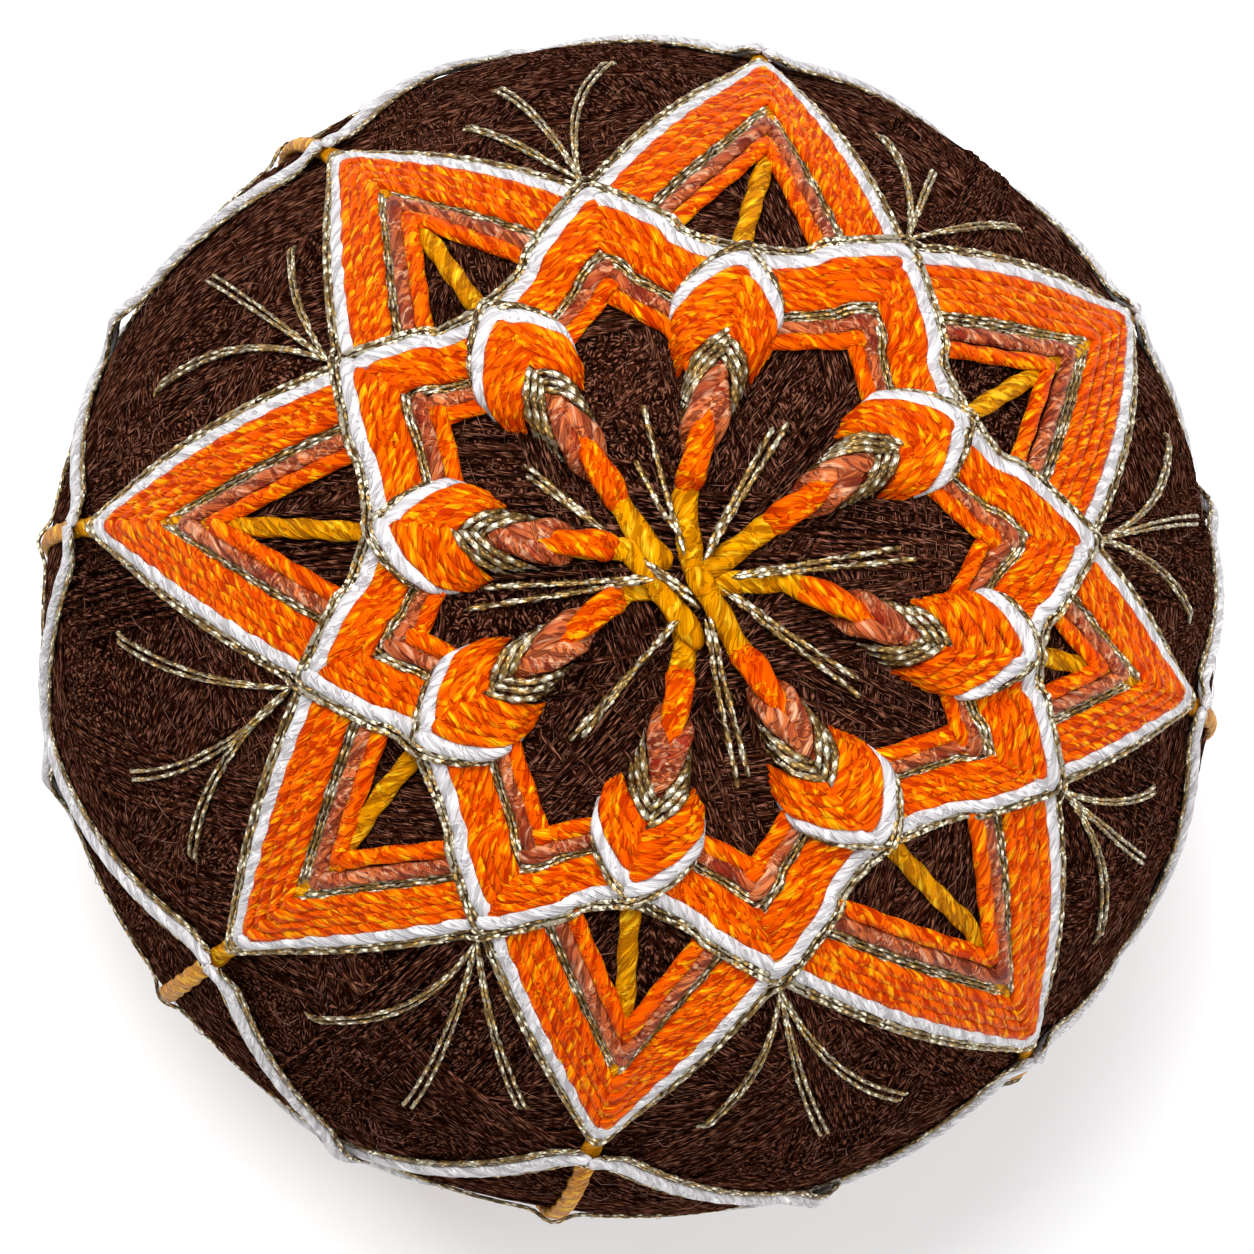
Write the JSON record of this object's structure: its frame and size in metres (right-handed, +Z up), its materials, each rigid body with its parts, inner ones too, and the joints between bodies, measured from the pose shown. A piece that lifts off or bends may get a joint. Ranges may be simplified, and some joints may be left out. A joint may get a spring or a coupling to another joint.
{
  "type": "temari ball",
  "caption": "Thread-wound decorative ball with an interlaced chrysanthemum of embroidered rows on each pole, a zigzag belt between them and gold needle stitches",
  "frame": {"origin": "on the surface that the ball stands on, at the middle of its small flat spot under the lower pole", "axes": "+Z runs up through both poles; +X is the direction from which the spokes' azimuths are counted, towards +Y"},
  "size_m": [0.0663, 0.0663, 0.0664],
  "materials": {
    "wound_thread": "fine dark brown sewing thread, wound in every direction, slightly fuzzy",
    "yellow_thread": "thick twisted cotton, golden yellow, soft sheen",
    "orange_thread": "twisted pearl cotton in rows, orange dyed unevenly from red orange to yellow orange, with rust brown inner rows",
    "white_thread": "twisted pearl cotton, white, edged with gold metallic thread",
    "gold_thread": "fine braided metallic gold thread, glittering"
  },
  "bodies": {
    "root": {"wound_ball": "wound_thread", "division_threads": "yellow_thread", "chrysanthemum_top": "orange_thread", "chrysanthemum_bottom": "orange_thread", "belt_zigzags": "white_thread", "equator_thread": "gold_thread", "needle_fan_top_1": "gold_thread", "needle_pair_top_1": "gold_thread", "needle_fan_top_2": "gold_thread", "needle_pair_top_2": "gold_thread", "needle_fan_top_3": "gold_thread", "needle_pair_top_3": "gold_thread", "needle_fan_top_4": "gold_thread", "needle_pair_top_4": "gold_thread", "needle_fan_top_5": "gold_thread", "needle_pair_top_5": "gold_thread", "needle_fan_top_6": "gold_thread", "needle_pair_top_6": "gold_thread", "needle_fan_top_7": "gold_thread", "needle_pair_top_7": "gold_thread", "needle_fan_top_8": "gold_thread", "needle_pair_top_8": "gold_thread", "needle_fan_bottom_1": "gold_thread", "needle_pair_bottom_1": "gold_thread", "needle_fan_bottom_2": "gold_thread", "needle_pair_bottom_2": "gold_thread", "needle_fan_bottom_3": "gold_thread", "needle_pair_bottom_3": "gold_thread", "needle_fan_bottom_4": "gold_thread", "needle_pair_bottom_4": "gold_thread", "needle_fan_bottom_5": "gold_thread", "needle_pair_bottom_5": "gold_thread", "needle_fan_bottom_6": "gold_thread", "needle_pair_bottom_6": "gold_thread", "needle_fan_bottom_7": "gold_thread", "needle_pair_bottom_7": "gold_thread", "needle_fan_bottom_8": "gold_thread", "needle_pair_bottom_8": "gold_thread"}
  },
  "joints": []
}
